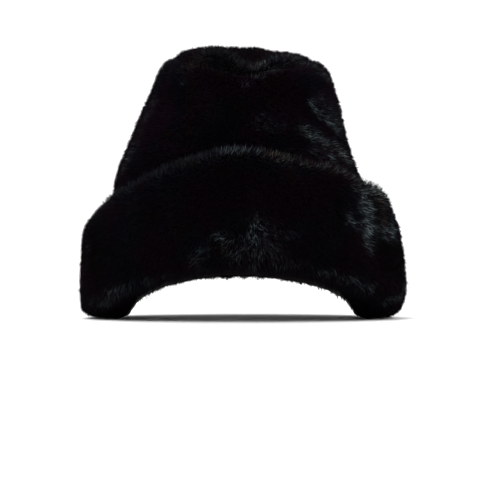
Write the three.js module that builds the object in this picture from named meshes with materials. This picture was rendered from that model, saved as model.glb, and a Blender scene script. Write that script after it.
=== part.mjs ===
// A fur hat: a tall tapering crown closed by an oval tip, and a wide cuff turned up all round.
// Each piece is the solid of the fur's outer form, pelt and sheared pile together.
// Millimetres, +Z up. The front faces -Y, and the hat rests on its rim at Z = 0.
import * as THREE from "three";

// The fur wall, and the small gaps between pieces
const wallThickness = 11;
const seamGap = 0.9;
const cuffGapLow = 0.7;
const cuffGapHigh = 1.8;

// The rim: flat where it rests at both sides, arched over the forehead and at the nape
const frontArch = 32;
const napeArch = 29;
const archStart = 0.3;
const archPower = 1.7;

// The cuff's top edge: its height at the sides, in front and behind.
// The skews are what the right side has more, and the left side less.
const cuffSideHeight = 80;
const cuffSideSkew = 3;
const cuffFrontHeight = 109;
const cuffBackHeight = 105;
const cuffEdgePower = 1.6;
const cuffEdgeSkew = 0.33;

// The ledge on which the crown wall's lower edge stands, above the rim
const ledgeHeight = 9;

// How much the oval narrows towards the front
const egg = 0.03;

// The seam round the tip: its height at the sides, in front and behind, and how far it is drawn in
const seamSideHeight = 181;
const seamFrontHeight = 166;
const seamBackHeight = 170;
const seamDepth = 1.3;
const seamReach = 5;

// Steps round the hat, shared by all pieces so that facing walls have facing facets,
// and steps along the sections
const turnSteps = 72;
const crownOuterSteps = 17;
const crownInnerSteps = 10;
const tipSteps = 7;

// The crown's outer surface from its lower edge to the middle of the tip, one row for each height
const crownRows = [
  { height: 0, halfWidth: 92.5, halfDepth: 111, lean: 0 },
  { height: 40, halfWidth: 91.5, halfDepth: 108.5, lean: -1 },
  { height: 75, halfWidth: 89.5, halfDepth: 104, lean: -2.5 },
  { height: 100, halfWidth: 86.3, halfDepth: 98.5, lean: -2.9 },
  { height: 111, halfWidth: 81.6, halfDepth: 94.5, lean: -3.6 },
  { height: 122, halfWidth: 77, halfDepth: 90.5, lean: -3.8 },
  { height: 134, halfWidth: 73.4, halfDepth: 86.5, lean: -2.4 },
  { height: 145, halfWidth: 70.2, halfDepth: 83, lean: -0.8 },
  { height: 156, halfWidth: 66.6, halfDepth: 79.4, lean: 0 },
  { height: 165, halfWidth: 62.6, halfDepth: 75.2, lean: 0.8 },
  { height: 172, halfWidth: 58.4, halfDepth: 71, lean: 0.6 },
  { height: 177, halfWidth: 54, halfDepth: 66.6, lean: 0.2 },
  { height: 181, halfWidth: 48, halfDepth: 60.5, lean: 0 },
  { height: 184, halfWidth: 39, halfDepth: 50, lean: 0 },
  { height: 186, halfWidth: 24, halfDepth: 32, lean: 0 },
  { height: 186.7, halfWidth: 0, halfDepth: 0, lean: 0 },
];

// The cuff's outer surface from the rim to its top edge: part is the share of the cuff's height
const cuffRows = [
  { part: 0, halfWidth: 104, halfDepth: 119, lean: 0 },
  { part: 0.03, halfWidth: 109.6, halfDepth: 124.8, lean: 0 },
  { part: 0.1, halfWidth: 113.4, halfDepth: 129, lean: 0 },
  { part: 0.2, halfWidth: 114.8, halfDepth: 131, lean: 0 },
  { part: 0.35, halfWidth: 114.6, halfDepth: 131, lean: -0.4 },
  { part: 0.55, halfWidth: 113, halfDepth: 129.2, lean: -1 },
  { part: 0.74, halfWidth: 111, halfDepth: 126, lean: -1.6 },
  { part: 0.87, halfWidth: 108.2, halfDepth: 122.4, lean: -1.8 },
  { part: 0.95, halfWidth: 104.2, halfDepth: 118.4, lean: -1.8 },
  { part: 1, halfWidth: 98.6, halfDepth: 112.4, lean: -2 },
];
const cuffLipPart = 0.965;
const cuffLipInset = 3.5;
const cuffInnerParts = [0.9, 0.78, 0.62, 0.46, 0.3, 0.2];

// The roll under the crown's edge, from the ledge round to the flat that the hat rests on:
// height above the rim, and how far inside the crown's outer surface
const rollRows = [
  { above: ledgeHeight, inside: -cuffGapLow },
  { above: ledgeHeight, inside: 10.6 },
  { above: 6, inside: 11.4 },
  { above: 3, inside: 10.6 },
  { above: 0.8, inside: 8.2 },
  { above: 0, inside: 4 },
];

// Dents and swells of the crown: where the middle lies, how far it reaches, and how it moves the fur
const crownDents = [
  // the scoop at the front of the tip
  { at: [5, -52, 179], reach: [13.5, 22, 24], move: [0, 2.5, -14] },
  // the buckle at the front right, slanting down to the side
  { at: [46, -66, 138], reach: [17, 28, 11], move: [-1.8, 2.2, 0] },
  { at: [62, -48, 126], reach: [17, 28, 11], move: [-2.4, 1.8, 0] },
  // the shallow hollow at the front left
  { at: [-56, -58, 139], reach: [24, 34, 16], move: [1.8, 1.8, 0] },
  // the soft hollow behind
  { at: [10, 84, 136], reach: [40, 30, 14], move: [0, -2.4, 0] },
  // the tip's fuller left and lower right
  { at: [-34, -14, 184], reach: [26, 60, 16], move: [0, 0, 1.8] },
  { at: [46, -10, 180], reach: [22, 60, 16], move: [0, 0, -2.4] },
];

// Waves in the cuff's outer face: count round the hat, phase in degrees, and height
const cuffWaves = [
  { count: 3, phase: 40, height: 0.7 },
  { count: 5, phase: 110, height: 0.6 },
];

const { degToRad, lerp, mapLinear } = THREE.MathUtils;
const clamp01 = (value) => THREE.MathUtils.clamp(value, 0, 1);

// The crown's profile: half width, half depth and height from its lower edge to the tip's middle
const crownProfile = new THREE.CatmullRomCurve3(
  crownRows.map((row) => new THREE.Vector3(row.halfWidth, row.halfDepth, row.height)),
  false,
  "centripetal",
);
const profileLength = crownProfile.getLength();

// The share of the profile's length at which it reaches a height
function shareAtHeight(height) {
  let low = 0;
  let high = 1;
  for (let i = 0; i < 30; i++) {
    const middle = (low + high) / 2;
    if (crownProfile.getPointAt(middle).z < height) low = middle;
    else high = middle;
  }
  return (low + high) / 2;
}

// How far the crown leans to the side at a height
function leanAt(height) {
  const above = crownRows.findIndex((row) => row.height >= height);
  if (above < 1) return 0;
  const [a, b] = [crownRows[above - 1], crownRows[above]];
  return mapLinear(height, a.height, b.height, a.lean, b.lean);
}

// A point of an oval ring round the hat. turn 0 is the right side, 90 degrees the back.
function ovalPoint(turn, halfWidth, halfDepth, height, lean = 0) {
  const narrowing = 1 + egg * Math.sin(turn);
  return new THREE.Vector3(
    lean + halfWidth * Math.cos(turn) * narrowing,
    halfDepth * Math.sin(turn),
    height,
  );
}

// The rim's height: 0 along the sides, and an arch in front and behind
function rimHeight(turn) {
  const arch = Math.sin(turn) < 0 ? frontArch : napeArch;
  const along = clamp01((Math.abs(Math.sin(turn)) - archStart) / (1 - archStart));
  return arch * Math.pow(along, archPower);
}

function cuffTopHeight(turn) {
  const middle = Math.sin(turn) < 0 ? cuffFrontHeight : cuffBackHeight;
  const side = cuffSideHeight + cuffSideSkew * Math.cos(turn);
  const power = cuffEdgePower + cuffEdgeSkew * Math.cos(turn);
  return lerp(middle, side, Math.pow(Math.abs(Math.cos(turn)), power));
}

// The share of the crown's profile at which the tip's seam lies
function seamShare(turn) {
  const end = Math.sin(turn) < 0 ? seamFrontHeight : seamBackHeight;
  return shareAtHeight(lerp(seamSideHeight, end, Math.pow(Math.sin(turn), 2)));
}

// Moves a point of the crown by the dents
function dented(point) {
  const moved = point.clone();
  for (const dent of crownDents) {
    const [x, y, z] = ["x", "y", "z"].map((axis, i) => (point[axis] - dent.at[i]) / dent.reach[i]);
    const share = Math.exp(-(x * x + y * y + z * z));
    moved.addScaledVector(new THREE.Vector3(...dent.move), share);
  }
  return moved;
}

// A point of the crown so far inside its outer surface, at a share of its profile
function crownPoint(turn, share, inside, level = false) {
  const outer = crownProfile.getPointAt(share);
  const along = crownProfile.getTangentAt(share);
  const wide = new THREE.Vector2(along.z, -along.x).normalize();
  const deep = new THREE.Vector2(along.z, -along.y).normalize();
  const drop = level ? 0 : (inside * (wide.y + deep.y)) / 2;
  const point = ovalPoint(
    turn,
    outer.x - inside * wide.x,
    outer.y - inside * deep.x,
    outer.z - drop,
    leanAt(outer.z),
  );
  return dented(point);
}

// How far the seam draws in the fur beside it
function drawnIn(turn, share) {
  const away = ((share - seamShare(turn)) * profileLength) / seamReach;
  return seamDepth * Math.exp(-away * away);
}

// One section of the crown's side: up its outer wall and down its inner wall
function crownSection(turn) {
  const start = shareAtHeight(rimHeight(turn) + ledgeHeight + seamGap);
  const end = seamShare(turn) - seamGap / 2 / profileLength;
  const outside = [];
  const inside = [];
  for (let i = 0; i <= crownOuterSteps; i++) {
    const share = lerp(start, end, i / crownOuterSteps);
    outside.push(crownPoint(turn, share, drawnIn(turn, share), true));
  }
  for (let i = 0; i <= crownInnerSteps; i++) {
    const share = lerp(end, start, i / crownInnerSteps);
    inside.push(crownPoint(turn, share, wallThickness, i === crownInnerSteps));
  }
  return [...outside, ...inside];
}

// One section of the tip, from near the middle of its underside round to its top
function tipSection(turn) {
  const start = seamShare(turn) + seamGap / 2 / profileLength;
  const under = [];
  const over = [];
  for (let i = 0; i < tipSteps; i++) {
    const share = lerp(start, 1, i / tipSteps);
    under.unshift(crownPoint(turn, share, wallThickness));
    over.push(crownPoint(turn, share, drawnIn(turn, share), true));
  }
  return [...under, ...over];
}

// A point beside the crown's outer wall, so far out from it
function besideCrown(turn, height, out) {
  const wall = crownProfile.getPointAt(shareAtHeight(height));
  return ovalPoint(turn, wall.x + out, wall.y + out, height, leanAt(height));
}

// One section of the cuff: up its outer face, over its top edge, down beside the crown,
// under the crown wall's lower edge and round the roll that the hat rests on
function cuffSection(turn) {
  const rim = rimHeight(turn);
  const top = cuffTopHeight(turn);
  const heightAt = (part) => lerp(rim, top, part);
  const gapAt = (part) => lerp(cuffGapLow, cuffGapHigh, part);
  const outer = cuffRows.map(({ part, halfWidth, halfDepth, lean }) => {
    const swell = Math.sin(Math.PI * part);
    let wave = 0;
    for (const { count, phase, height } of cuffWaves) {
      wave += height * swell * Math.sin(count * turn + degToRad(phase));
    }
    return ovalPoint(turn, halfWidth + wave, halfDepth + wave, heightAt(part), lean);
  });
  const lip = besideCrown(turn, heightAt(cuffLipPart), gapAt(1) + cuffLipInset);
  const inner = cuffInnerParts.map((part) => besideCrown(turn, heightAt(part), gapAt(part)));
  const roll = rollRows.map(({ above, inside }) => besideCrown(turn, rim + above, -inside));
  return [...outer, lip, ...inner, ...roll];
}

// The faces between one section's points and the next one's
function sideFaces(section, nextSection, end) {
  const faces = [];
  for (let j = 0; j < end; j++) {
    const after = (j + 1) % section.length;
    const [a, b, c, d] = [section[j], nextSection[j], nextSection[after], section[after]];
    faces.push(a, b, c, a, c, d);
  }
  return faces;
}

function geometryOf(points, faces) {
  const geometry = new THREE.BufferGeometry().setFromPoints(points);
  geometry.setIndex(faces);
  geometry.computeVertexNormals();
  return geometry;
}

// The sections round the hat, and the numbers of their points in one list
function sectionsOf(sectionAt) {
  const turns = Array.from({ length: turnSteps }, (_, i) => (2 * Math.PI * i) / turnSteps);
  const sections = turns.map(sectionAt);
  let next = 0;
  const numbers = sections.map((section) => section.map(() => next++));
  return { sections, numbers };
}

// A closed body round the hat, from closed sections
function ringBody(sectionAt) {
  const { sections, numbers } = sectionsOf(sectionAt);
  const faces = numbers.flatMap((section, i) =>
    sideFaces(section, numbers[(i + 1) % turnSteps], section.length),
  );
  return geometryOf(sections.flat(), faces);
}

// A closed body like a lid, from open sections between the middles of its two faces
function lidBody(sectionAt, underMiddle, overMiddle) {
  const { sections, numbers } = sectionsOf(sectionAt);
  const points = [...sections.flat(), underMiddle, overMiddle];
  const [under, over] = [points.length - 2, points.length - 1];
  const faces = numbers.flatMap((section, i) => {
    const next = numbers[(i + 1) % turnSteps];
    const first = [under, next[0], section[0]];
    const last = [section.at(-1), next.at(-1), over];
    return [...first, ...sideFaces(section, next, section.length - 1), ...last];
  });
  return geometryOf(points, faces);
}

// Black sheared fur, and its slightly browner nap on the tip
const fur = new THREE.MeshStandardMaterial({ color: 0x0d0d10, roughness: 0.75, metalness: 0 });
const tipFur = new THREE.MeshStandardMaterial({ color: 0x120f0e, roughness: 0.75, metalness: 0 });

function piece(name, geometry, material) {
  const mesh = new THREE.Mesh(geometry, material);
  mesh.name = name;
  return mesh;
}

function buildHat() {
  const tip = lidBody(tipSection, crownPoint(0, 1, wallThickness), crownPoint(0, 1, 0));
  const hat = new THREE.Group();
  hat.add(
    piece("crown_side", ringBody(crownSection), fur),
    piece("crown_tip", tip, tipFur),
    piece("cuff", ringBody(cuffSection), fur),
  );
  // The origin is the middle of the hat's footprint
  const box = new THREE.Box3().setFromObject(hat);
  const middle = box.getCenter(new THREE.Vector3());
  hat.position.set(-middle.x, -middle.y, -box.min.z);
  return hat;
}

export default buildHat();
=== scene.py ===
import math

import bmesh
import bpy
import numpy as np
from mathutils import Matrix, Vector, noise
from mathutils.kdtree import KDTree


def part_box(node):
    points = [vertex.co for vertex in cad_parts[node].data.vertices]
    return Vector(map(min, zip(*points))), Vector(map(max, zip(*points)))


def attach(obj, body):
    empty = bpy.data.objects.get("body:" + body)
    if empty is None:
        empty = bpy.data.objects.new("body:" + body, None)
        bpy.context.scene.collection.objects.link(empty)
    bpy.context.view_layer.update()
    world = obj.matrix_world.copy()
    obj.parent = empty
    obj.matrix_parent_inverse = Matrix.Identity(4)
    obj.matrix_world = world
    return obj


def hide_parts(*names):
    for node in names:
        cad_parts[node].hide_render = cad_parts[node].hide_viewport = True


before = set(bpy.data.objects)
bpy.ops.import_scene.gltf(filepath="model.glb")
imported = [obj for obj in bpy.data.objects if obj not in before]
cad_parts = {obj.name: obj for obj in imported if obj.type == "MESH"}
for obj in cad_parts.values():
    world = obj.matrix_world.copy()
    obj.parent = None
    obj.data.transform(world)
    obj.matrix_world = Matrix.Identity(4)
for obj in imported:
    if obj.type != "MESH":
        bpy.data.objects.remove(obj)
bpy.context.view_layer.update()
print("frame loaded")

mm = 0.001

# The camera stands in front of the hat, just above the floor, and looks up a little
viewer = dict(
    place=(0.0, -0.900, 0.025),
    tiltUp=1.46,        # degrees
    lens=91.9,          # in millimetres, as frameWidth
    frameWidth=36.0,
    nearest=0.01,       # nothing closer to the camera is shown
)


def makeCamera():
    camera = bpy.data.cameras.new("photoCamera")
    camera.lens = viewer["lens"]
    camera.sensor_width = viewer["frameWidth"]
    camera.clip_start = viewer["nearest"]
    holder = bpy.data.objects.new("photoCamera", camera)
    holder.location = viewer["place"]
    holder.rotation_euler = (math.radians(90 + viewer["tiltUp"]), 0, 0)
    bpy.context.scene.collection.objects.link(holder)
    bpy.context.scene.camera = holder


makeCamera()
print("camera placed")


# Small helpers for numbers and meshes

def smoothStep(low, high, value):
    part = np.clip((value - low) / (high - low), 0, 1)
    return part * part * (3 - 2 * part)


def unit(vectors):
    length = np.linalg.norm(vectors, axis=1)[:, None]
    return vectors / np.maximum(length, 1e-9)


def meshPoints(mesh):
    points = np.zeros(len(mesh.vertices) * 3, np.float32)
    mesh.vertices.foreach_get("co", points)
    return points.reshape(-1, 3).astype(float)


def meshNormals(mesh):
    normals = np.zeros(len(mesh.vertices) * 3, np.float32)
    mesh.vertices.foreach_get("normal", normals)
    return normals.reshape(-1, 3).astype(float)


def movePoints(mesh, points):
    mesh.vertices.foreach_set("co", points.astype(np.float32).ravel())
    mesh.update()


def readNumber(mesh, name):
    values = np.zeros(len(mesh.vertices), np.float32)
    mesh.attributes[name].data.foreach_get("value", values)
    return values.astype(float)


def saveNumber(mesh, name, values):
    slot = mesh.attributes.new(name, "FLOAT", "POINT")
    slot.data.foreach_set("value", np.asarray(values, np.float32))


def saveVector(mesh, name, values):
    slot = mesh.attributes.new(name, "FLOAT_VECTOR", "POINT")
    slot.data.foreach_set("vector", np.asarray(values, np.float32).ravel())


# The cuff's two edges, read from the frame
cuffLow, cuffHigh = (np.array(corner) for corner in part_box("cuff"))
cuffHalf = (cuffHigh - cuffLow) / 2
cuffMiddle = (cuffHigh + cuffLow) / 2
edgeStep = 5    # degrees between two readings
edgeReach = 3   # degrees to each side of a reading


def turnOf(points):
    # how far round the hat each point lies
    across = (points[:, 0] - cuffMiddle[0]) / cuffHalf[0]
    along = (points[:, 1] - cuffMiddle[1]) / cuffHalf[1]
    return np.arctan2(along, across)


def cuffEdges():
    # the height of the cuff's lower and top edge at each turn round the hat
    points = meshPoints(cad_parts["cuff"].data)
    turns = turnOf(points)
    steps = np.radians(np.arange(-180, 181, edgeStep))
    low, high = [], []
    for step in steps:
        near = np.abs(np.angle(np.exp(1j * (turns - step)))) < math.radians(edgeReach)
        low.append(points[near, 2].min())
        high.append(points[near, 2].max())
    return steps, np.array(low), np.array(high)


edgeTurns, edgeLow, edgeHigh = cuffEdges()


def cuffLowEdge(points):
    return np.interp(turnOf(points), edgeTurns, edgeLow)


def cuffTopEdge(points):
    return np.interp(turnOf(points), edgeTurns, edgeHigh)


# the three noises are read this far apart, and seedStep parts one seed from the next
noiseSides = (Vector((9.3, -1.5, -8.0)), Vector((0, 0, 0)), Vector((6.3, 0.2, -2.7)))
seedStep = (7.3, 3.1, 5.7)


def noiseField(points, scale, seed):
    # three soft noises for each point. noise.noise is the same in each run, noise_vector isn't
    shift = Vector([seed * step for step in seedStep])
    places = [Vector(point) / scale + shift for point in points]
    return np.array([[noise.noise(place + side) for side in noiseSides] for place in places])


# Places where the pile is brushed another way, as strokes on the surface, which also carry painted
# sheen and painted shade. path is where the pile's ends lie and wide is half the stroke's width, both
# in millimetres. lie is the way the pile leans, shine how far painted sheen lightens it, brown how far
# that painted sheen browns, dark how far painted shade deepens its black and longer how much it grows.
# fade takes away the painted sheen of the strokes before it, and even keeps the painted sheen from
# breaking up into streaks.
strokes = dict(
    cuffRightTop=dict(path=[(69, -85, 85), (73, -80, 84)], wide=2.8, shine=0.70, lie=(0.7, 0, -0.6)),
    cuffRightUpper=dict(path=[(78, -72, 84), (77, -81, 74)], wide=5.0, shine=1.35, lie=(0.5, 0, -0.7)),
    cuffRightFall=dict(
        path=[(80, -78, 71), (81, -81, 61)], wide=6.4, shine=1.95, even=0.15, lie=(0.4, 0, -0.9),
    ),
    cuffRightTail=dict(
        path=[(79, -83, 61), (80, -83, 51)], wide=4.8, shine=1.85, even=0.15, lie=(0.3, 0, -1.0),
    ),
    cuffRightLow=dict(
        path=[(86, -73, 64), (87, -74, 56)], wide=3.0, shine=0.50, brown=0.3, lie=(0.5, 0, -0.8),
    ),
    cuffRightSpot=dict(path=[(67, -96, 65), (70, -93, 63)], wide=3.2, shine=1.40, lie=(0.3, 0, -0.8)),
    cuffRightBranch=dict(path=[(93, -61, 59), (102, -38, 60)], wide=4.0, shine=2.3, lie=(0.7, 0, -0.6)),
    cuffRightRim=dict(path=[(102, -30, 72), (103, -38, 62)], wide=4.0, shine=0.45, lie=(0.8, 0, -0.4)),
    cuffRightHigh=dict(
        path=[(84, -59, 86), (92, -41, 84)], wide=6.0, shine=3.1, brown=0.4, lie=(0.7, 0, -0.4),
    ),
    cuffRightBrown=dict(
        path=[(90, -54, 79), (93, -57, 66)],
        wide=5.0, shine=0.58, brown=1.0, even=0.35, lie=(0.5, 0, -0.8),
    ),
    # painted shade on the cuff's front right
    cuffRightShade=dict(
        path=[(61, -100, 78), (61, -104, 58)], wide=6.0, shine=0.0, dark=0.75, lie=(0.2, 0, -0.9),
    ),
    # painted shade under the cuff's right fold, towards the floor
    cuffLowShade=dict(
        path=[(90, -68, 49), (106, -26, 48), (108, -26, 36), (94, -66, 34)],
        wide=8.0, shine=0.0, dark=0.9, lie=(0.2, 0, -0.9),
    ),
    # painted shade down the cuff's left side
    cuffLeftShade=dict(
        path=[(-107, -40, 62), (-95, -66, 40)], wide=17.0, shine=0.0, dark=0.8, lie=(-0.1, 0, -0.9),
    ),
    cuffFanTop=dict(
        path=[(8, -131, 61), (9, -131, 54)], wide=4.4, shine=1.30, even=0.25, lie=(0.05, 0, -0.9),
    ),
    cuffFanMiddle=dict(
        path=[(5, -131, 50), (8, -128, 41)], wide=6.5, shine=0.47, even=0.3, lie=(0.1, 0, -0.9),
    ),
    cuffFanRight=dict(
        path=[(15, -130, 50), (22, -126, 41)], wide=6.0, shine=0.24, even=0.3, lie=(0.5, 0, -0.8),
    ),
    cuffFanRightTop=dict(
        path=[(17, -129, 59), (21, -128, 55)], wide=4.0, shine=0.22, lie=(0.4, 0, -0.7),
    ),
    cuffFanSpots=dict(path=[(27, -127, 54), (32, -125, 52)], wide=2.8, shine=0.34, lie=(0.6, 0, -0.6)),
    cuffFanLeft=dict(
        path=[(-5, -129, 41), (0, -130, 46)], wide=6.0, shine=0.30, even=0.3, lie=(-0.4, 0, -0.8),
    ),
    cuffFanBranch=dict(
        path=[(-16, -130, 52), (-9, -130, 49)], wide=3.4, shine=0.78, lie=(-0.9, 0, -0.3),
    ),
    cuffFanFar=dict(
        path=[(-30, -124, 37), (-24, -128, 43)], wide=5.0, shine=0.36, even=0.3, lie=(-0.9, 0, -0.2),
    ),
    cuffHemLeft=dict(
        path=[(-85, -74, 16), (-75, -90, 19)], wide=5.0, shine=0.62, lie=(-0.3, -0.2, -0.8),
    ),
    cuffHemMiddle=dict(
        path=[(-71, -97, 22), (-45, -108, 27)], wide=3.6, shine=0.32, lie=(-0.1, -0.2, -1.0),
    ),
    cuffHemCorner=dict(
        path=[(-101, -46, 10), (-88, -62, 12)], wide=6.0, shine=0.30, lie=(-0.3, -0.2, -0.7),
    ),
    cuffHemSpots=dict(
        path=[(20, -123, 36), (40, -118, 34)], wide=3.0, shine=0.28, lie=(0.1, -0.2, -0.9),
    ),
    cuffHemRight=dict(
        path=[(45, -112, 31), (61, -102, 28)], wide=4.0, shine=0.26, lie=(0.2, -0.2, -1.0),
    ),
    cuffHemFar=dict(path=[(64, -98, 27), (71, -94, 25)], wide=3.8, shine=0.44, lie=(0.3, -0.2, -0.9)),
    cuffHemEnd=dict(path=[(76, -88, 22), (84, -80, 20)], wide=4.2, shine=0.50, lie=(0.4, -0.2, -0.8)),
    cuffFold=dict(
        path=[(93, -56, 11), (101, -45, 13), (107, -35, 17), (111, -18, 23)],
        wide=2.3, shine=0.75, even=0.6, lie=(0.5, 0, 0.2),
    ),
    cuffRightSide=dict(
        path=[(109, -26, 36), (111, -20, 27)], wide=2.6, shine=0.40, even=0.5, lie=(0.6, 0, -0.3),
    ),
    cuffLeftSpot=dict(
        path=[(-103, -53, 50), (-103, -52, 47)], wide=1.8, shine=0.60, lie=(-0.6, 0, -0.6),
    ),
    crownPatch=dict(
        path=[(41, -67, 123), (47, -62, 121), (55, -53, 118)], wide=4.6, shine=0.95, lie=(0.8, 0, -0.4),
    ),
    crownPatchLow=dict(path=[(54, -57, 116), (56, -57, 112)], wide=3.8, shine=0.55, lie=(0.7, 0, -0.4)),
    crownPatchSpur=dict(path=[(35, -73, 125), (40, -69, 124)], wide=1.8, shine=0.45, lie=(0.8, 0, 0.1)),
    crownUnderPatch=dict(
        path=[(45, -69, 111), (50, -67, 108)], wide=5.0, shine=0.28, brown=0.3, lie=(0.6, 0, -0.6),
    ),
    crownUnderSpot=dict(path=[(58, -59, 107), (60, -59, 104)], wide=4.2, shine=1.0, lie=(0.6, 0, -0.6)),
    crownLowRight=dict(
        path=[(63, -42, 114), (69, -34, 110)], wide=5.5, shine=1.45, brown=0.35, lie=(0.6, 0.1, -0.6),
    ),
    crownFoldLine=dict(
        path=[(45, -54, 145), (48, -52, 141), (53, -47, 136), (59, -38, 132), (65, -27, 128)],
        wide=2.1, shine=1.15, even=1.0, lie=(0.7, 0.2, -0.8),
    ),
    crownBesideFold=dict(
        path=[(51, -49, 147), (60, -36, 141), (66, -22, 134)], wide=5.6, shine=0.26, lie=(0.7, 0, 0.3),
    ),
    crownRightEdge=dict(
        path=[(65, -12, 148), (69, -14, 132)], wide=4.0, shine=0.30, even=0.3, lie=(0.6, 0, -0.4),
    ),
    crownMottle=dict(path=[(11, -86, 126), (20, -83, 126)], wide=6.0, shine=0.20, lie=(0.3, 0, -0.6)),
    crownMottleSpot=dict(
        path=[(12, -83, 133), (12, -83, 132.5)], wide=1.7, shine=0.40, lie=(0.3, 0, -0.6),
    ),
    # painted shade in the hollow below the crown's patch, which also takes away painted sheen
    crownHollow=dict(
        path=[(27, -82, 117), (40, -72, 115)],
        wide=4.6, shine=0.0, fade=1.0, dark=0.2, lie=(0.1, 0, -0.9),
    ),
    # painted shade beside the crown's fold
    crownRightShade=dict(
        path=[(24, -70, 152), (42, -57, 142)], wide=11.0, shine=0.0, dark=0.35, lie=(0.1, 0, -0.8),
    ),
    # painted shade along the crown's rim below the tip
    crownRimShade=dict(
        path=[(-28, -62, 165), (-5, -70, 162), (12, -69, 161)],
        wide=4.4, shine=0.0, dark=0.8, lie=(0.1, 0, 0.0),
    ),
    # painted shade on the top of the tip behind its dent
    topShade=dict(
        path=[(-32, -22, 184), (0, -14, 186), (22, -14, 185)],
        wide=12.0, shine=0.0, fade=0.3, dark=1.0, lie=(0, -0.4, 0),
    ),
    crownLeftEdge=dict(
        path=[(-69, -35, 131), (-62, -37, 146)], wide=5.0, shine=0.26, lie=(-0.5, 0, -0.6),
    ),
    crownLeftLow=dict(
        path=[(-79, -38, 104), (-74, -40, 116)], wide=5.5, shine=0.36, lie=(-0.5, 0, -0.5),
    ),
    crownLump=dict(path=[(9, -64, 165), (13, -58, 169)], wide=4.2, shine=0.82, lie=(0.3, -0.2, -0.7)),
    crownLumpLow=dict(
        path=[(9, -73, 158), (13, -67, 162)], wide=3.6, shine=0.34, lie=(0.3, -0.2, -0.7),
    ),
    crownSeam=dict(
        path=[(-2, -74, 161), (-1, -79, 152), (0, -86, 128)],
        wide=1.0, shine=0.07, brown=0.6, lie=(0.3, 0, -0.6),
    ),
    crownPart=dict(
        path=[(-8, -63, 171), (-5, -66, 167), (-2, -69, 163)],
        wide=1.1, shine=0.30, even=0.8, lie=(0.3, 0, 0.0),
    ),
    crownCurl=dict(path=[(-1, -79, 154), (1, -79, 151)], wide=2.2, shine=0.26, lie=(0.5, 0, 0.4)),
    crownCurlLeft=dict(
        path=[(-41, -61, 157), (-40, -61, 155)], wide=2.0, shine=0.22, lie=(0.5, 0, 0.4),
    ),
    tipRight=dict(
        path=[(18, -57, 172), (30, -50, 175), (42, -37, 175)],
        wide=5.0, shine=0.36, lie=(0.4, -0.2, -0.6),
    ),
    tipRightEnd=dict(
        path=[(42, -37, 175), (50, -35, 171), (58, -24, 165)],
        wide=4.4, shine=0.36, brown=0.15, lie=(0.4, -0.2, -0.6),
    ),
    tipRightLow=dict(
        path=[(17, -67, 162), (26, -60, 167)], wide=4.0, shine=0.22, lie=(0.4, -0.2, -0.6),
    ),
    tipLeft=dict(
        path=[(-38, -52, 168), (-29, -58, 168)],
        wide=4.8, shine=0.26, brown=1.0, lie=(-0.2, -0.3, -0.8),
    ),
    tipLeftGlow=dict(
        path=[(-28, -55, 171), (-1, -62, 170)],
        wide=10.0, shine=0.15, brown=0.7, even=0.9, lie=(0.0, -0.3, -0.6),
    ),
    tipLeftHigh=dict(
        path=[(-39, -39, 178), (-20, -58, 176)],
        wide=6.5, shine=0.07, brown=0.5, lie=(-0.2, -0.4, -0.6),
    ),
    # painted shade in the tip's dent, which also takes away painted sheen
    tipHollow=dict(
        path=[(-6, -52, 175), (5, -35, 178), (12, -38, 178)],
        wide=8.0, shine=0.0, fade=0.7, dark=0.35, lie=(0.0, -0.3, -0.5),
    ),
    edgeMiddle=dict(
        path=[(-12, -111, 106), (-2, -112, 107), (9, -111, 106)],
        wide=5.0, shine=0.39, lie=(0.5, 0, 0.5),
    ),
    edgeTan=dict(
        path=[(17, -112, 103), (27, -110, 102)],
        wide=5.4, shine=0.78, brown=0.9, even=0.2, lie=(0.4, 0, 0.4),
    ),
    edgeOlive=dict(
        path=[(30, -109, 101), (44, -103, 99)], wide=4.4, shine=0.44, brown=0.7, lie=(0.4, 0, 0.4),
    ),
    edgeSpot=dict(
        path=[(49, -99, 99), (55, -95, 98)], wide=4.6, shine=0.45, brown=0.4, lie=(0.4, 0, 0.3),
    ),
    edgeFarRight=dict(
        path=[(59, -93, 98), (69, -83, 95), (77, -73, 92)],
        wide=4.6, shine=0.66, brown=0.4, even=0.2, lie=(0.4, 0, 0.3),
    ),
    edgeLeft=dict(
        path=[(-72, -78, 86), (-58, -95, 91), (-36, -109, 98)],
        wide=5.0, shine=0.08, brown=0.4, lie=(0.4, 0, 0.3),
    ),
    edgeTuft=dict(
        path=[(80, -64, 92), (90, -40, 89)],
        wide=7.0, shine=0.18, brown=0.4, longer=0.6, lie=(0.4, 0, 0.6),
    ),
    edgeLeftLow=dict(
        path=[(-72, -78, 86), (-56, -96, 92)], wide=5.0, shine=0.0, fade=0.6, lie=(0.4, 0, 0.3),
    ),
    edgeTuftLeft=dict(
        path=[(-109, -14, 70), (-97, -24, 88)],
        wide=7.0, shine=0.12, brown=0.5, longer=0.4, lie=(-0.6, 0, 0.5),
    ),
    hemTuft=dict(
        path=[(4, -126, 33), (12, -126, 33)], wide=4.0, shine=0.10, longer=0.5, lie=(0.2, -0.1, -0.9),
    ),
    hemTuftLeft=dict(
        path=[(-12, -126, 32), (-9, -126, 32)],
        wide=3.0, shine=0.10, longer=0.5, lie=(-0.2, -0.1, -0.9),
    ),
)


def alongPath(points, path):
    # the distance of each point from a path of straight pieces
    nearest = np.full(len(points), np.inf)
    for start, end in zip(path[:-1], path[1:]):
        start, end = np.array(start, float), np.array(end, float)
        line = end - start
        share = np.clip(((points - start) @ line) / (line @ line), 0, 1)[:, None]
        nearest = np.minimum(nearest, np.linalg.norm(points - start - share * line, axis=1))
    return nearest


def strokeShare(points, stroke, wider=1.6):
    # full on the path and nothing past its half width times wider
    part = alongPath(points / mm, stroke["path"]) / (stroke["wide"] * wider)
    return np.clip(1 - part ** 2, 0, 1) ** 2


# Skins: smooth copies of the frame's pieces, drawn in so that the fur's ends lie where the frame is

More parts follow.
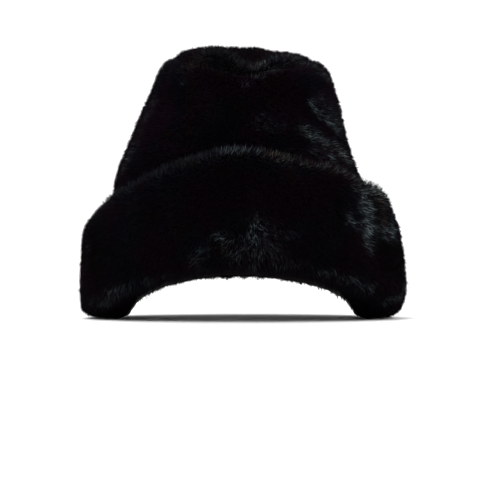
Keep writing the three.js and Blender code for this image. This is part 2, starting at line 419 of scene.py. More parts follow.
def mergedMesh(node):
    # the node's loose triangles with their points joined, for bmesh
    work = bmesh.new()
    work.from_mesh(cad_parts[node].data)
    bmesh.ops.remove_doubles(work, verts=work.verts, dist=0.02 * mm)
    return work


def smoothCopy(node, name):
    work = mergedMesh(node)
    bmesh.ops.join_triangles(
        work, faces=work.faces, angle_face_threshold=math.pi, angle_shape_threshold=math.pi,
    )
    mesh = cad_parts[node].data.copy()
    work.to_mesh(mesh)
    work.free()
    for face in mesh.polygons:
        face.use_smooth = True
    return finerCopy(mesh, name)


def finerCopy(mesh, name):
    rough = bpy.data.objects.new(name, mesh)
    bpy.context.scene.collection.objects.link(rough)
    finer = rough.modifiers.new("finer", "SUBSURF")
    finer.levels = 1
    finer.render_levels = 1
    return plainCopy(rough, name)


def plainCopy(made, name):
    # the object with its modifiers applied, as a plain mesh
    graph = bpy.context.evaluated_depsgraph_get()
    mesh = bpy.data.meshes.new_from_object(made.evaluated_get(graph))
    old = made.data
    bpy.data.objects.remove(made)
    if old.users == 0:
        bpy.data.meshes.remove(old)
    mesh.name = name
    plain = bpy.data.objects.new(name, mesh)
    bpy.context.scene.collection.objects.link(plain)
    return plain


# The fur itself: closed spikes of three sides
fur = dict(
    density=1.84e6,         # spikes on a square metre
    length=6.4 * mm,
    lengths=(0.65, 1.08),   # the shortest and longest spike, as shares of the length
    tuftLengths=(0.55, 0.9),    # the length that all tufts have, and what the noise adds
    longerFrom=0.983,       # of chances from 0 to 1, those above this make a longer spike
    longerBy=0.3,
    thickness=0.45 * mm,
    thicknesses=(0.7, 1.2),
    stand=0.95,             # how upright the pile stands, against the lean of its lie
    usualLean=0.85,         # pile that leans so has the stated length
    tangle=0.9,             # how much tufts lean apart
    tuft=4.5 * mm,          # size of a tuft
    streak=2.2 * mm,        # width of the lighter streaks in brushed places
    stray=0.45,             # how much each spike leans its own way
    floor=0.3 * mm,         # no end of the fur goes lower
)

# What the three skins have in common, and how the fur is laid on them
pelt = dict(
    heart=(0, 0, 0.08),     # walls that face away from here carry fur
    evening=9 * mm,         # the drawing in follows the wall's direction over this distance
    lump=0.9 * mm,          # height of soft lumps
    lumpSize=34 * mm,
    swirl=0.5,              # how much the pile's lie wanders
    swirlSize=24 * mm,
    glimmer=0.03,           # faint lighter places all over
    glimmerSize=17 * mm,
    lieHold=1.3,            # how firmly a stroke sets the pile's lean
    brownHold=1.5,          # and how firmly its brown
    halo=0.10,              # share of a stroke's shine that spreads round it
    haloWide=3.0,           # how far it spreads, in half widths of the stroke
    # patches of painted sheen on the back, placed by chance
    patch=0.34,             # lightness of the chance patches behind
    patchSize=30 * mm,
    patchRagged=0.45,
    patchCut=(0.18, 0.55),  # patches start at the first noise value and are full at the second
    behind=(-20 * mm, 15 * mm),     # between these depths the patches set in
    seenAt=0.5,             # the part of a spike's length where its colour shows most
)


def layPile(bed, lie, tall=1.0, shine=0.0, brown=0.0):
    # stores how the pile stands at each point: lie is its lean and tall its length
    mesh = bed.data
    points, normals = meshPoints(mesh), meshNormals(mesh)
    combed = lie + pelt["swirl"] * noiseField(points, pelt["swirlSize"], 1)
    lie = combed
    for _ in range(3):
        # a stroke lies where the pile's ends are seen, so its place is looked up there
        ends = points + unit(normals * fur["stand"] + lie) * fur["length"] * pelt["seenAt"]
        lie = combed
        for stroke in strokes.values():
            hold = np.clip(strokeShare(ends, stroke) * pelt["lieHold"], 0, 1)[:, None]
            lie = lie * (1 - hold) + np.array(stroke["lie"]) * hold
    glimmer = noiseField(points, pelt["glimmerSize"], 6)[:, 0]
    shine = np.maximum(shine, pelt["glimmer"] * smoothStep(0.0, 0.6, glimmer))
    # behind, where no stroke is placed, painted sheen lies in patches here and there by chance
    wild = noiseField(points, pelt["patchSize"], 8)[:, 0]
    wild = wild + pelt["patchRagged"] * noiseField(points, pelt["patchSize"] / 3, 9)[:, 1]
    behind = smoothStep(*pelt["behind"], points[:, 1])
    shine = np.maximum(shine, pelt["patch"] * behind * smoothStep(*pelt["patchCut"], wild))
    # each stroke lays its painted sheen as shine and its painted shade as dark
    even, dark = np.zeros(len(points)), np.zeros(len(points))
    for stroke in strokes.values():
        share = strokeShare(ends, stroke)
        halo = strokeShare(ends, stroke, pelt["haloWide"])
        spread = share * (1 - pelt["halo"]) + halo * pelt["halo"]
        brown = brown + (stroke.get("brown", 0) - brown) * np.clip(share * pelt["brownHold"], 0, 1)
        shine = shine * (1 - share * stroke.get("fade", 0))
        shine = np.maximum(shine, spread * stroke["shine"])
        tall = tall + share * stroke.get("longer", 0)
        even = np.maximum(even, share * stroke.get("even", 0))
        dark = np.maximum(dark, share * stroke.get("dark", 0))
    # leaning pile is drawn longer, so that it reaches as far
    lie = lie - normals * (lie * normals).sum(axis=1)[:, None]
    lean = np.linalg.norm(lie, axis=1)
    tall = tall * np.hypot(fur["stand"], lean) / math.hypot(fur["stand"], fur["usualLean"])
    saveNumber(mesh, "even", even)
    saveNumber(mesh, "dark", dark)
    saveVector(mesh, "lie", lie)
    saveNumber(mesh, "tall", tall)
    saveNumber(mesh, "shine", shine)
    saveNumber(mesh, "brown", brown)


def facingOut(points, normals):
    # 1 where the surface faces straight away from the heart, and below 0 on the inner wall
    away = unit(points - np.array(pelt["heart"]))
    return (away * normals).sum(axis=1)


def outwardOf(points):
    # the level direction away from the hat's axis
    return unit(points * np.array([1, 1, 0]))


def broadNormals(points, sources):
    # the mean direction of the outer wall round each point, so that a seam doesn't open
    tree = KDTree(len(sources[0]))
    for i, place in enumerate(sources[0]):
        tree.insert(place, i)
    tree.balance()
    broad = np.zeros_like(points)
    for i, place in enumerate(points):
        near = tree.find_range(place, pelt["evening"])
        if not near:
            near = [tree.find(place)]
        broad[i] = sum(
            (sources[1][k] * (1.001 - away / pelt["evening"]) for _, k, away in near),
            np.zeros(3),
        )
    return unit(broad)


def outerWall(nodes):
    # the middles and the directions of the faces that look outwards
    places, directions = [], []
    for node in nodes:
        work = mergedMesh(node)
        work.normal_update()
        middles = np.array([face.calc_center_median() for face in work.faces])
        normals = np.array([face.normal for face in work.faces])
        areas = np.array([face.calc_area() for face in work.faces])[:, None]
        work.free()
        outer = facingOut(middles, normals) > 0.35
        places.append(middles[outer])
        directions.append((normals * areas)[outer])
    return np.concatenate(places), np.concatenate(directions)


# Small shape corrections of a skin: at and reach in millimetres, move is how far the place shifts
nudges = dict(
    topMiddle=dict(at=(4, -12, 186), reach=(15, 32, 14), move=(0, 0, 4.6)),
    topStep=dict(at=(21, -20, 184), reach=(6, 40, 12), move=(0, 0, -1.0)),
    rightShoulder=dict(at=(50, -12, 173), reach=(14, 45, 13), move=(2.6, 0, 4.2)),
    crownRight=dict(at=(68, 2, 132), reach=(10, 26, 26), move=(1.8, 0, 0)),
    leftNotch=dict(at=(-49, -10, 181), reach=(4, 40, 4), move=(2.4, 0, -0.5)),
    leftShoulder=dict(at=(-50, -10, 173), reach=(15, 45, 12), move=(-1.8, 0, 2.8)),
    cuffRightShoulder=dict(at=(93, -10, 86), reach=(10, 60, 8), move=(3.2, 0, 4.0)),
    cuffEdgeRight=dict(at=(64, -84, 92), reach=(19, 26, 9), move=(0, 0, 4.2)),
    tipFrontLeft=dict(at=(-18, -57, 170), reach=(20, 8, 6), move=(0, -1.5, 2.0)),
    cuffRightNotch=dict(at=(87, -8, 91), reach=(7, 50, 7), move=(1.0, 0, 3.4)),
    cuffLeftShoulder=dict(at=(-104, -10, 80), reach=(12, 60, 14), move=(4.5, 0, -2.5)),
    cuffLeftBulge=dict(at=(-109, -10, 65), reach=(10, 60, 9), move=(-1.8, 0, 0)),
    cuffRightFoot=dict(at=(112, -10, 6), reach=(12, 60, 12), move=(-1.8, 0, 0)),
    cuffLeftSide=dict(at=(-114, -10, 36), reach=(12, 60, 28), move=(1.1, 0, 0)),
    cuffRightUnder=dict(at=(98, -52, 6), reach=(18, 24, 9), move=(-3.0, 3.0, 0)),
    cuffLeftUnder=dict(at=(-96, -54, 6), reach=(18, 24, 9), move=(2.5, 3.0, 0)),
    foldHollow=dict(at=(42, -64, 136), reach=(9, 14, 9), move=(-1.0, 3.6, 0)),
    foldRidge=dict(at=(53, -46, 138), reach=(5, 9, 7), move=(1.6, -2.0, 0.6)),
    foldRidgeLow=dict(at=(63, -32, 128), reach=(5, 9, 6), move=(1.6, -1.6, 0.4)),
    foldUnder=dict(at=(36, -76, 113), reach=(12, 14, 7), move=(-0.3, 2.2, 0)),
)


def nudge(points):
    for mend in nudges.values():
        away = (points / mm - np.array(mend["at"])) / np.array(mend["reach"])
        share = np.exp(-(away ** 2).sum(axis=1))[:, None]
        points = points + share * np.array(mend["move"]) * mm
    return points


def drawIn(skin, directions, depth, furred):
    # moves the furred wall inwards by the fur's depth, with soft lumps and the nudges
    mesh = skin.data
    points = meshPoints(mesh)
    lumps = pelt["lump"] * noiseField(points, pelt["lumpSize"], 3)[:, 0]
    moved = points - directions * ((depth - lumps) * furred)[:, None]
    moved = points + (nudge(moved) - points) * furred[:, None]
    movePoints(mesh, moved)


def makeBed(skin):
    # a finer copy of the skin, for the fur to grow on
    return finerCopy(skin.data.copy(), skin.name + "Bed")


crownWall = outerWall(["crown_side", "crown_tip"])

crown = dict(
    drawnIn=3.9 * mm,           # how far the skin lies under the fur's ends
    overCuff=(-9 * mm, -2 * mm),    # fur sets in between these heights over the cuff's top edge
    lie=(0.10, 0.0, -0.8),      # the pile leans down the wall
    nearTip=(156 * mm, 166 * mm),
    lostNearTip=0.7,            # share of the lean that is lost near the tip
)


def crownFurred(mesh):
    # 1 on the crown's outer wall, where it carries fur, and 0 inside
    return smoothStep(0.05, 0.3, facingOut(meshPoints(mesh), meshNormals(mesh)))


def makeCrown():
    skin = smoothCopy("crown_side", "crownSkin")
    points = meshPoints(skin.data)
    outer = crownFurred(skin.data)
    overCuff = smoothStep(*crown["overCuff"], points[:, 2] - cuffTopEdge(points))
    saveNumber(skin.data, "pile", outer * overCuff)
    drawIn(skin, broadNormals(points, crownWall), crown["drawnIn"], outer)
    bed = makeBed(skin)
    nearTip = smoothStep(*crown["nearTip"], meshPoints(bed.data)[:, 2])[:, None]
    layPile(bed, np.array(crown["lie"]) * (1 - crown["lostNearTip"] * nearTip))
    return skin, bed


tip = dict(
    drawnIn=3.9 * mm,
    halfSize=(50 * mm, 70 * mm),    # half the oval's width and depth
    lieInside=(0.0, -0.35, 0.0),    # the lean in the tip's middle, towards the front
    outAtRim=0.6,                   # and at its rim, outwards
    dropAtRim=(0, 0, -0.3),
)


def makeTip():
    skin = smoothCopy("crown_tip", "tipSkin")
    points = meshPoints(skin.data)
    outer = crownFurred(skin.data)
    saveNumber(skin.data, "pile", outer)
    drawIn(skin, broadNormals(points, crownWall), tip["drawnIn"], outer)
    bed = makeBed(skin)
    points = meshPoints(bed.data)
    rim = np.clip(np.linalg.norm(points[:, :2] / tip["halfSize"], axis=1), 0, 1)[:, None]
    lie = outwardOf(points) * tip["outAtRim"] * rim
    lie = lie + np.array(tip["lieInside"]) * (1 - rim) + np.array(tip["dropAtRim"]) * rim ** 3
    layPile(bed, lie)
    return skin, bed


cuff = dict(
    drawnIn=3.6 * mm,
    archPower=0.60,             # below 1 the hem's arch is flatter than the frame's
    archPowerBehind=0.40,
    lipLift=5 * mm,             # how far the hem's inner lip is drawn up in front
    front=(0, -40 * mm),        # between these depths the front's hem sets in
    lie=(0.0, 0.0, -0.85),
    lieOnEdge=(0.28, 0, 0.5),   # the lean along the top edge
    outOnEdge=0.3,
    outAtFoot=0.5,              # the lean near the floor, outwards
    foot=(10 * mm, 3 * mm),
    edgeDeep=7.0,               # how far down the top edge's lean reaches, in millimetres
    edgeRagged=2.5,
    patchSize=12 * mm,          # size of the patches in which the edge's lean and light vary
    longerOnEdge=0.45,
    shorterAtFoot=0.2,
    hemPile=(0.65, -0.25, 0.7), # how much longer in front, shorter all round, and ragged
    hemRaggedSize=5 * mm,
    edgeShine=0.13,
    underEdgeShine=0.03,
    edgeBrown=0.9,
)


def liftHem(skin, facing, low):
    # the hem's arch is a flatter one than the frame's, and in front its inner lip is drawn up
    points = meshPoints(skin.data)
    inFront = points[:, 1] < 0
    arch = np.where(inFront, edgeLow[edgeTurns < 0].max(), edgeLow[edgeTurns > 0].max())
    power = np.where(inFront, cuff["archPower"], cuff["archPowerBehind"])
    part = np.clip(low / arch, 0, 1)
    near = smoothStep(32 * mm, 6 * mm, points[:, 2] - low)
    points[:, 2] += arch * (part ** power - part) * near
    arched = smoothStep(2 * mm, 9 * mm, low) * smoothStep(*cuff["front"], points[:, 1])
    near = smoothStep(24 * mm, 8 * mm, points[:, 2] - low)
    points[:, 2] += cuff["lipLift"] * smoothStep(0.45, -0.35, facing) * arched * near
    movePoints(skin.data, points)


def hemLonger(bed, points):
    # the arched hem is ragged, and in front its pile hangs longer
    inFront, allRound, ragged = cuff["hemPile"]
    under = smoothStep(7 * mm, 2 * mm, readNumber(bed.data, "overHem"))
    under = under * smoothStep(3 * mm, 12 * mm, cuffLowEdge(points))
    longer = inFront * smoothStep(*cuff["front"], points[:, 1]) + allRound
    return under * (longer + ragged * noiseField(points, cuff["hemRaggedSize"], 7)[:, 0])


def makeCuff():
    skin = smoothCopy("cuff", "cuffSkin")
    mesh = skin.data
    points, normals = meshPoints(mesh), meshNormals(mesh)
    low, high = cuffLowEdge(points), cuffTopEdge(points)
    facing = (outwardOf(points) * normals).sum(axis=1)
    hidden = smoothStep(0.0, -0.35, facing) * smoothStep(-5 * mm, -9 * mm, points[:, 2] - high)
    saveNumber(mesh, "pile", 1 - hidden)
    saveNumber(mesh, "underEdge", (high - points[:, 2]) / mm)
    saveNumber(mesh, "overHem", points[:, 2] - low)
    drawIn(skin, normals, cuff["drawnIn"], 1 - hidden)
    liftHem(skin, facing, low)
    bed = makeBed(skin)
    points = meshPoints(bed.data)
    outward = outwardOf(points)
    underEdge = readNumber(bed.data, "underEdge")
    wander = noiseField(points, cuff["patchSize"], 5)
    top = smoothStep(cuff["edgeDeep"] + cuff["edgeRagged"] * wander[:, 1], 0.5, underEdge)[:, None]
    foot = smoothStep(*cuff["foot"], points[:, 2])[:, None]
    lie = np.array(cuff["lie"]) * (1 - top)
    lie = lie + (outward * cuff["outOnEdge"] + np.array(cuff["lieOnEdge"])) * top
    lie = lie * (1 - foot) + outward * cuff["outAtFoot"] * foot
    tall = 1 + cuff["longerOnEdge"] * top[:, 0] - cuff["shorterAtFoot"] * foot[:, 0]
    tall = tall * (1 + hemLonger(bed, points))
    # painted sheen along the top edge in patches, and right of the middle that sheen is browner
    shine = cuff["edgeShine"] * smoothStep(8.5, 2.0, underEdge)
    shine = shine + cuff["underEdgeShine"] * smoothStep(15, 6, underEdge)
    shine = shine * np.clip(0.55 + 0.9 * wander[:, 0], 0.15, 1)
    right = smoothStep(18 * mm, 35 * mm, points[:, 0]) * smoothStep(100 * mm, 80 * mm, points[:, 0])
    brown = smoothStep(16, 8, underEdge) * right * cuff["edgeBrown"]
    layPile(bed, lie, tall, shine, brown)
    return skin, bed


crownSkin, crownBed = makeCrown()
tipSkin, tipBed = makeTip()
cuffSkin, cuffBed = makeCuff()
print("skins made")


# Materials

def newTree(name, ins, outs):
    group = bpy.data.node_groups.new(name, "ShaderNodeTree")
    for label, kind, value in ins:
        socket = group.interface.new_socket(label, in_out="INPUT", socket_type=kind)
        socket.default_value = value
    for label, kind in outs:
        group.interface.new_socket(label, in_out="OUTPUT", socket_type=kind)
    return group


def addNode(tree, kind, **settings):
    node = tree.nodes.new(kind)
    for key, value in settings.items():
        setattr(node, key, value)
    return node


def feed(tree, value, socket):
    # links another node's output to the socket, or sets the socket to a plain value
    if isinstance(value, bpy.types.NodeSocket):
        tree.links.new(value, socket)
    else:
        socket.default_value = value


def mathNode(tree, operation, a, b, clamped=False):
    node = addNode(tree, "ShaderNodeMath", operation=operation, use_clamp=clamped)
    feed(tree, a, node.inputs[0])
    feed(tree, b, node.inputs[1])
    return node.outputs[0]


def softRange(tree, value, low, high, least=0.0, most=1.0):
    # a soft step from least, where the value is low, to most, where it is high
    node = addNode(tree, "ShaderNodeMapRange", interpolation_type="SMOOTHSTEP")
    feed(tree, value, node.inputs["Value"])
    node.inputs["From Min"].default_value = low
    node.inputs["From Max"].default_value = high
    node.inputs["To Min"].default_value = least
    node.inputs["To Max"].default_value = most
    return node.outputs["Result"]


def makeNapGroup():
    # colour of black fur: blacks of three tints, a deeper black for painted shade, painted sheen where
    # shine is stored, and a little painted rim light at the pile's ends
    colour, number = "NodeSocketColor", "NodeSocketFloat"
    group = newTree(
        "napColour",
        [
            ("Black", colour, (0.0036, 0.0013, 0.0036, 1)),
            ("Blue Black", colour, (0.0014, 0.0015, 0.0030, 1)),
            ("Brown Black", colour, (0.0038, 0.0017, 0.0018, 1)),
            # the black of painted shade
            ("Deep", colour, (0.0008, 0.0003, 0.0005, 1)),
            # the two colours of painted sheen, a browner one and a bluish grey one
            ("Brown", colour, (0.130, 0.104, 0.066, 1)),
            ("Painted Sheen", colour, (0.195, 0.256, 0.272, 1)),
            # how much painted rim light the pile's ends get
            ("Ends", number, 0.003),
            ("Rough", number, 0.6),
            ("Rough Brushed", number, 0.4),
        ],
        [("Colour", colour), ("Roughness", number)],
    )
    links = group.links
    source = addNode(group, "NodeGroupInput").outputs
    place = addNode(group, "ShaderNodeTexCoord").outputs["Object"]

    def stored(name):
        # a number that the fur's mesh carries
        return addNode(group, "ShaderNodeAttribute", attribute_name=name).outputs["Fac"]

    def mixed(factor, a, b):
        node = addNode(group, "ShaderNodeMix", data_type="RGBA")
        links.new(factor, node.inputs["Factor"])
        links.new(a, node.inputs[6])
        links.new(b, node.inputs[7])
        return node.outputs[2]

    def clouds(scale, low, high, most):
        cloud = addNode(group, "ShaderNodeTexNoise")
        cloud.inputs["Scale"].default_value = scale
        cloud.inputs["Detail"].default_value = 2
        links.new(place, cloud.inputs["Vector"])
        return softRange(group, cloud.outputs["Fac"], low, high, most=most)

    tinted = mixed(clouds(34, 0.42, 0.62, 0.9), source["Black"], source["Blue Black"])
    tinted = mixed(clouds(80, 0.52, 0.70, 0.6), tinted, source["Brown Black"])
    # painted shade: the black deepens where the strokes store dark
    tinted = mixed(stored("dark"), tinted, source["Deep"])
    along = stored("along")
    # painted rim light at the pile's ends
    ends = mathNode(group, "MULTIPLY", softRange(group, along, 0.55, 1.0), source["Ends"], True)
    # painted sheen: the stored shine times each spike's shade, growing towards its tip
    lit = mathNode(group, "MULTIPLY", stored("shine"), stored("shade"), True)
    lit = mathNode(group, "MULTIPLY", lit, along, True)
    # the painted sheen's colour, browner where brown is stored
    light = mixed(stored("brown"), source["Painted Sheen"], source["Brown"])
    rough = addNode(group, "ShaderNodeMapRange")
    links.new(lit, rough.inputs["Value"])
    links.new(source["Rough"], rough.inputs["To Min"])
    links.new(source["Rough Brushed"], rough.inputs["To Max"])
    out = addNode(group, "NodeGroupOutput").inputs
    links.new(mixed(mathNode(group, "ADD", lit, ends, True), tinted, light), out["Colour"])
    links.new(rough.outputs["Result"], out["Roughness"])
    return group


napGroup = makeNapGroup()


def furMaterial(name, **values):
    material = bpy.data.materials.new(name)
    material.use_nodes = True
    tree = material.node_tree
    shader = tree.nodes["Principled BSDF"]
    shader.inputs["Specular IOR Level"].default_value = 0.015
    nap = addNode(tree, "ShaderNodeGroup", node_tree=napGroup)
    for label, value in values.items():
        nap.inputs[label].default_value = value
    tree.links.new(nap.outputs["Colour"], shader.inputs["Base Color"])
    tree.links.new(nap.outputs["Roughness"], shader.inputs["Roughness"])
    return material


crownFur = furMaterial("crownFur", Black=(0.0040, 0.0012, 0.0036, 1))
tipFur = furMaterial("tipFur", Black=(0.0036, 0.0016, 0.0030, 1))
cuffFur = furMaterial("cuffFur", Black=(0.0031, 0.0010, 0.0029, 1))


def makeWeaveGroup():
    # a fine plain weave: crossing threads with a little unevenness
    number = "NodeSocketFloat"
    group = newTree(
        "plainWeave",
        [("Threads", number, 900.0), ("Unevenness", number, 0.4)],
        [("Height", number), ("Mask", number)],
    )
    links = group.links
    source = addNode(group, "NodeGroupInput").outputs
    place = addNode(group, "ShaderNodeTexCoord").outputs["Object"]
    waves = []
    for direction in ("Z", "DIAGONAL"):
        wave = addNode(group, "ShaderNodeTexWave", wave_type="BANDS", bands_direction=direction)
        wave.inputs["Distortion"].default_value = 0.6
        links.new(place, wave.inputs["Vector"])
        links.new(source["Threads"], wave.inputs["Scale"])
        waves.append(wave.outputs["Fac"])
    cloud = addNode(group, "ShaderNodeTexNoise")
    cloud.inputs["Scale"].default_value = 60
    links.new(place, cloud.inputs["Vector"])
    out = addNode(group, "NodeGroupOutput").inputs
    links.new(mathNode(group, "MULTIPLY", waves[0], waves[1]), out["Height"])
    links.new(mathNode(group, "MULTIPLY", cloud.outputs["Fac"], source["Unevenness"]), out["Mask"])
    return group


weaveGroup = makeWeaveGroup()


def backedMaterial(name, dark, light, roughness, threads):
    # woven stuff: the backing that the fur stands on, and the cloth of the hidden inside
    material = bpy.data.materials.new(name)
    material.use_nodes = True
    tree = material.node_tree
    shader = tree.nodes["Principled BSDF"]
    shader.inputs["Roughness"].default_value = roughness
    shader.inputs["Specular IOR Level"].default_value = 0.02
    weave = addNode(tree, "ShaderNodeGroup", node_tree=weaveGroup)
    weave.inputs["Threads"].default_value = threads
    colour = addNode(tree, "ShaderNodeMix", data_type="RGBA")
    colour.inputs[6].default_value = (*dark, 1)
    colour.inputs[7].default_value = (*light, 1)
    tree.links.new(weave.outputs["Mask"], colour.inputs["Factor"])
    tree.links.new(colour.outputs[2], shader.inputs["Base Color"])
    bump = addNode(tree, "ShaderNodeBump")
    bump.inputs["Strength"].default_value = 0.3
    bump.inputs["Distance"].default_value = 0.0004
    tree.links.new(weave.outputs["Height"], bump.inputs["Height"])
    tree.links.new(bump.outputs["Normal"], shader.inputs["Normal"])
    return material


backing = backedMaterial("backing", (0.003, 0.002, 0.003), (0.008, 0.006, 0.007), 0.9, 700)
innerCloth = backedMaterial("innerCloth", (0.013, 0.010, 0.012), (0.027, 0.022, 0.025), 0.5, 1100)


def dressSkin(skin):
    # fur-bearing faces get the backing, the hidden inside gets its cloth
    mesh = skin.data
    mesh.materials.clear()
    mesh.materials.append(backing)
    mesh.materials.append(innerCloth)
    pile = readNumber(mesh, "pile")
    heart = Vector(pelt["heart"])
    for face in mesh.polygons:
        face.use_smooth = True
        inward = (face.center - heart).normalized().dot(face.normal) < -0.1
        bare = max(pile[i] for i in face.vertices) < 0.05
        face.material_index = 1 if inward and bare else 0


for skin in (crownSkin, tipSkin, cuffSkin):
    dressSkin(skin)
print("materials made")


# Fur: closed spikes of three sides that stand on a skin

def furTree():
    tree = bpy.data.node_groups.new("standingPile", "GeometryNodeTree")
    sizes = ("Density", "Length", "Thickness", "Stand", "Floor", "Tangle", "Tuft", "Streak", "Stray")
    kinds = {label: "Float" for label in sizes}
    for label, kind in {"Geometry": "Geometry", **kinds, "Seed": "Int", "Fur": "Material"}.items():
        tree.interface.new_socket(label, in_out="INPUT", socket_type="NodeSocket" + kind)
    tree.interface.new_socket("Geometry", in_out="OUTPUT", socket_type="NodeSocketGeometry")
    links = tree.links
    source = addNode(tree, "NodeGroupInput").outputs

    def named(name, kind="FLOAT"):
        node = addNode(tree, "GeometryNodeInputNamedAttribute", data_type=kind)
        node.inputs["Name"].default_value = name
        return node.outputs["Attribute"]

    def sums(operation, a, b):
        return mathNode(tree, operation, a, b)

    def vectors(operation, a, b):
        node = addNode(tree, "ShaderNodeVectorMath", operation=operation)
        feed(tree, a, node.inputs[0])
        feed(tree, b, node.inputs["Scale"] if operation == "SCALE" else node.inputs[1])
        return node.outputs[0]

    def position():
        return addNode(tree, "GeometryNodeInputPosition").outputs[0]

    def parts(vector):
        node = addNode(tree, "ShaderNodeSeparateXYZ")
        links.new(vector, node.inputs[0])
        return node.outputs

    def joined(x, y, z):
        node = addNode(tree, "ShaderNodeCombineXYZ")
        for socket, value in zip(node.inputs, (x, y, z)):
            links.new(value, socket)
        return node.outputs[0]

    def stored(geometry, name, value, domain="POINT"):
        node = addNode(
            tree, "GeometryNodeStoreNamedAttribute", data_type="FLOAT", domain=domain,
        )
        node.inputs["Name"].default_value = name
        links.new(geometry, node.inputs["Geometry"])
        links.new(value, node.inputs["Value"])
        return node.outputs["Geometry"]

    def chance(low, high, salt):
        # a chance number for each spike. each salt gives another row of numbers
        node = addNode(tree, "FunctionNodeRandomValue", data_type="FLOAT")
        node.inputs[2].default_value = low
        node.inputs[3].default_value = high
        links.new(sums("ADD", source["Seed"], salt), node.inputs["Seed"])
        return node.outputs[1]

    def cloud(size, stretch=(1, 1, 1)):
        # soft noise at the spike's root, with features of that size
        node = addNode(tree, "ShaderNodeTexNoise", noise_dimensions="3D")
        links.new(vectors("MULTIPLY", position(), stretch), node.inputs["Vector"])
        links.new(sums("DIVIDE", 1.0, size), node.inputs["Scale"])
        node.inputs["Detail"].default_value = 1.5
        return node.outputs

    scatter = addNode(tree, "GeometryNodeDistributePointsOnFaces", distribute_method="RANDOM")
    links.new(source["Geometry"], scatter.inputs["Mesh"])
    links.new(sums("MULTIPLY", source["Density"], named("pile")), scatter.inputs["Density"])
    links.new(source["Seed"], scatter.inputs["Seed"])

    # the way a spike points: upright, its place's lie, its tuft's lean and its own
    tufts = cloud(source["Tuft"])
    upright = vectors("SCALE", scatter.outputs["Normal"], source["Stand"])
    leaning = vectors("ADD", upright, named("lie", "FLOAT_VECTOR"))
    middled = vectors("SUBTRACT", tufts["Color"], (0.5, 0.5, 0.5))
    tousled = vectors("ADD", leaning, vectors("SCALE", middled, source["Tangle"]))
    ownWay = addNode(tree, "FunctionNodeRandomValue", data_type="FLOAT_VECTOR")
    ownWay.inputs[0].default_value = (-1, -1, -1)
    links.new(sums("ADD", source["Seed"], 16), ownWay.inputs["Seed"])
    pointed = vectors("ADD", tousled, vectors("SCALE", ownWay.outputs[0], source["Stray"]))
    aim = addNode(tree, "FunctionNodeAlignRotationToVector", axis="Z")
    links.new(pointed, aim.inputs["Vector"])
    spin = addNode(tree, "FunctionNodeAxisAngleToRotation")
    spin.inputs["Axis"].default_value = (0, 0, 1)
    links.new(chance(0, 2 * math.pi, 11), spin.inputs["Angle"])
    turned = addNode(tree, "FunctionNodeRotateRotation", rotation_space="LOCAL")
    links.new(aim.outputs["Rotation"], turned.inputs["Rotation"])
    links.new(spin.outputs["Rotation"], turned.inputs["Rotate By"])

    # tufts differ in height, and one spike in sixty is a longer one
    shortTuft, tuftRise = fur["tuftLengths"]
    tuftHeight = sums("ADD", sums("MULTIPLY", tufts["Fac"], tuftRise), shortTuft)
    longer = sums("GREATER_THAN", chance(0, 1, 15), fur["longerFrom"])
    longer = sums("MULTIPLY", longer, fur["longerBy"])
    height = sums("MULTIPLY", source["Length"], named("tall"))
    height = sums("MULTIPLY", height, tuftHeight)
    height = sums("MULTIPLY", height, sums("ADD", chance(*fur["lengths"], 13), longer))
    width = sums("MULTIPLY", source["Thickness"], chance(*fur["thicknesses"], 12))

    spike = addNode(tree, "GeometryNodeMeshCone", fill_type="NGON")
    spike.inputs["Vertices"].default_value = 3
    spike.inputs["Radius Top"].default_value = 0
    spike.inputs["Radius Bottom"].default_value = 1
    spike.inputs["Depth"].default_value = 1
    markedSpike = stored(spike.outputs["Mesh"], "along", parts(position())["Z"])

    # the painted sheen breaks up into streaks, one value to a spike
    streaks = softRange(tree, cloud(source["Streak"], (0.8, 0.8, 1.4))["Fac"], 0.44, 0.60, 0.06)
    whole = sums("MAXIMUM", streaks, named("even"))
    roots = stored(scatter.outputs["Points"], "shine", sums("MULTIPLY", named("shine"), whole))

    planted = addNode(tree, "GeometryNodeInstanceOnPoints")
    links.new(roots, planted.inputs["Points"])
    links.new(markedSpike, planted.inputs["Instance"])
    links.new(turned.outputs["Rotation"], planted.inputs["Rotation"])
    links.new(joined(width, width, height), planted.inputs["Scale"])
    sparkle = softRange(tree, chance(0, 1, 14), 0.42, 1.0, 0.04)
    shaded = stored(planted.outputs["Instances"], "shade", sparkle, "INSTANCE")

    # the spikes become one mesh, and no end goes through the floor
    real = addNode(tree, "GeometryNodeRealizeInstances")
    links.new(shaded, real.inputs["Geometry"])
    place = parts(position())
    above = addNode(tree, "GeometryNodeSetPosition")
    links.new(real.outputs["Geometry"], above.inputs["Geometry"])
    kept = joined(place["X"], place["Y"], sums("MAXIMUM", place["Z"], source["Floor"]))
    links.new(kept, above.inputs["Position"])
    soft = addNode(tree, "GeometryNodeSetShadeSmooth")
    links.new(above.outputs["Geometry"], soft.inputs["Geometry"])
    dressed = addNode(tree, "GeometryNodeSetMaterial")
    links.new(soft.outputs["Geometry"], dressed.inputs["Geometry"])
    links.new(source["Fur"], dressed.inputs["Material"])
    out = addNode(tree, "NodeGroupOutput")
    links.new(dressed.outputs["Geometry"], out.inputs["Geometry"])
    return tree


standingPile = furTree()


def dropNumbers(piece):
    # removes what was stored only for the making
    for spare in ("pile", "tall", "lie", "underEdge", "overHem", "even"):
        if spare in piece.data.attributes:
            piece.data.attributes.remove(piece.data.attributes[spare])


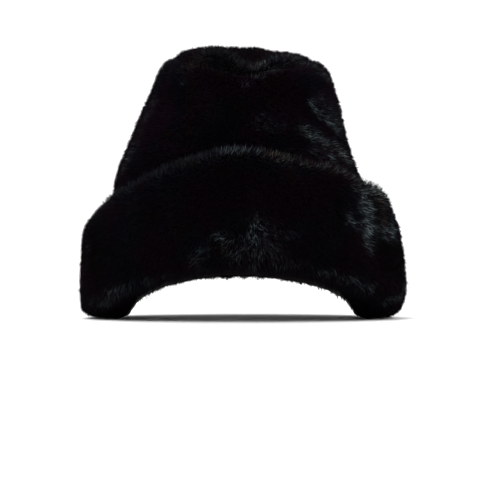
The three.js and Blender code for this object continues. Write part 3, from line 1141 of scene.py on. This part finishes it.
def growFur(bed, name, material, seed, keep=None):
    # keep says which points of the bed carry this piece's fur
    mesh = bed.data.copy()
    if keep is not None:
        pile = readNumber(mesh, "pile") * keep(meshPoints(mesh))
        mesh.attributes["pile"].data.foreach_set("value", pile.astype(np.float32))
    grower = bpy.data.objects.new(name, mesh)
    bpy.context.scene.collection.objects.link(grower)
    modifier = grower.modifiers.new("pile", "NODES")
    modifier.node_group = standingPile
    given = {"seed": seed, "fur": material, **fur}
    for item in standingPile.interface.items_tree:
        if item.in_out == "INPUT" and item.name != "Geometry":
            modifier[item.identifier] = given[item.name.lower()]
    piece = plainCopy(grower, name)
    dropNumbers(piece)
    print(name, "spikes", len(piece.data.polygons) // 4)
    return piece


sideReach = 50 * mm     # the cuff's fur is parted this far before and behind the middle
furPieces = [
    (growFur(crownBed, "crownFurLeft", crownFur, 1, lambda p: p[:, 0] < 0), "crown_fur"),
    (growFur(crownBed, "crownFurRight", crownFur, 2, lambda p: p[:, 0] >= 0), "crown_fur"),
    (growFur(tipBed, "tipFur", tipFur, 3), "tip_fur"),
    (growFur(cuffBed, "cuffFurFront", cuffFur, 4, lambda p: p[:, 1] < -sideReach), "cuff_fur"),
    (growFur(cuffBed, "cuffFurSides", cuffFur, 5, lambda p: np.abs(p[:, 1]) <= sideReach), "cuff_fur"),
    (growFur(cuffBed, "cuffFurBack", cuffFur, 6, lambda p: p[:, 1] > sideReach), "cuff_fur"),
]
for skin, bed in ((crownSkin, crownBed), (tipSkin, tipBed), (cuffSkin, cuffBed)):
    dropNumbers(skin)
    bpy.data.objects.remove(bed)
print("fur grown")

for skin, node, slot in (
    (crownSkin, "crown_side", "crown_fur"),
    (tipSkin, "crown_tip", "tip_fur"),
    (cuffSkin, "cuff", "cuff_fur"),
):
    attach(skin, "root")
    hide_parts(node)
for piece, slot in furPieces:
    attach(piece, "root")


# The floor, backdrop and lights

studio = dict(
    halfWidth=3.0,
    front=-1.6,
    bend=1.2,           # where the floor starts to curve up behind
    radius=0.6,
    height=2.6,
    bendSteps=16,
    white=0.9,
    litPlace=(0, 0, 0.1),   # the lamps point here
)


def makeFloor():
    outline = [(studio["front"], 0.0), (studio["bend"], 0.0)]
    for i in range(1, studio["bendSteps"] + 1):
        angle = math.pi / 2 * i / studio["bendSteps"]
        y = studio["bend"] + studio["radius"] * math.sin(angle)
        outline.append((y, studio["radius"] * (1 - math.cos(angle))))
    outline.append((outline[-1][0], studio["height"]))
    points, faces = [], []
    for y, z in outline:
        points += [(-studio["halfWidth"], y, z), (studio["halfWidth"], y, z)]
    for i in range(len(outline) - 1):
        faces.append((2 * i, 2 * i + 1, 2 * i + 3, 2 * i + 2))
    mesh = bpy.data.meshes.new("paleFloor")
    mesh.from_pydata(points, [], faces)
    for face in mesh.polygons:
        face.use_smooth = True
    material = bpy.data.materials.new("palePaper")
    material.use_nodes = True
    shader = material.node_tree.nodes["Principled BSDF"]
    white = studio["white"]
    shader.inputs["Base Color"].default_value = (white, white, white, 1)
    shader.inputs["Roughness"].default_value = 0.9
    shader.inputs["Specular IOR Level"].default_value = 0.1
    mesh.materials.append(material)
    floor = bpy.data.objects.new("paleFloor", mesh)
    bpy.context.scene.collection.objects.link(floor)


lamps = dict(
    key=dict(place=(-0.4, -1.4, 1.3), size=0.8, watts=22),
    fill=dict(place=(0.9, -1.2, 0.9), size=1.4, watts=8),
    back=dict(place=(-0.3, 0.9, 1.4), size=1.4, watts=16),
)


def makeLamps():
    for name, lamp in lamps.items():
        light = bpy.data.lights.new(name, "AREA")
        light.shape = "DISK"
        light.size = lamp["size"]
        light.energy = lamp["watts"]
        holder = bpy.data.objects.new(name, light)
        holder.location = lamp["place"]
        aim = Vector(studio["litPlace"]) - Vector(lamp["place"])
        holder.rotation_euler = aim.to_track_quat("-Z", "Y").to_euler()
        bpy.context.scene.collection.objects.link(holder)
    world = bpy.data.worlds.new("softWhite")
    world.use_nodes = True
    sky = world.node_tree.nodes["Background"]
    sky.inputs["Color"].default_value = (1, 1, 1, 1)
    sky.inputs["Strength"].default_value = 1.0
    bpy.context.scene.world = world


makeFloor()
makeLamps()
bpy.context.scene.view_settings.view_transform = "Standard"
print("studio set")
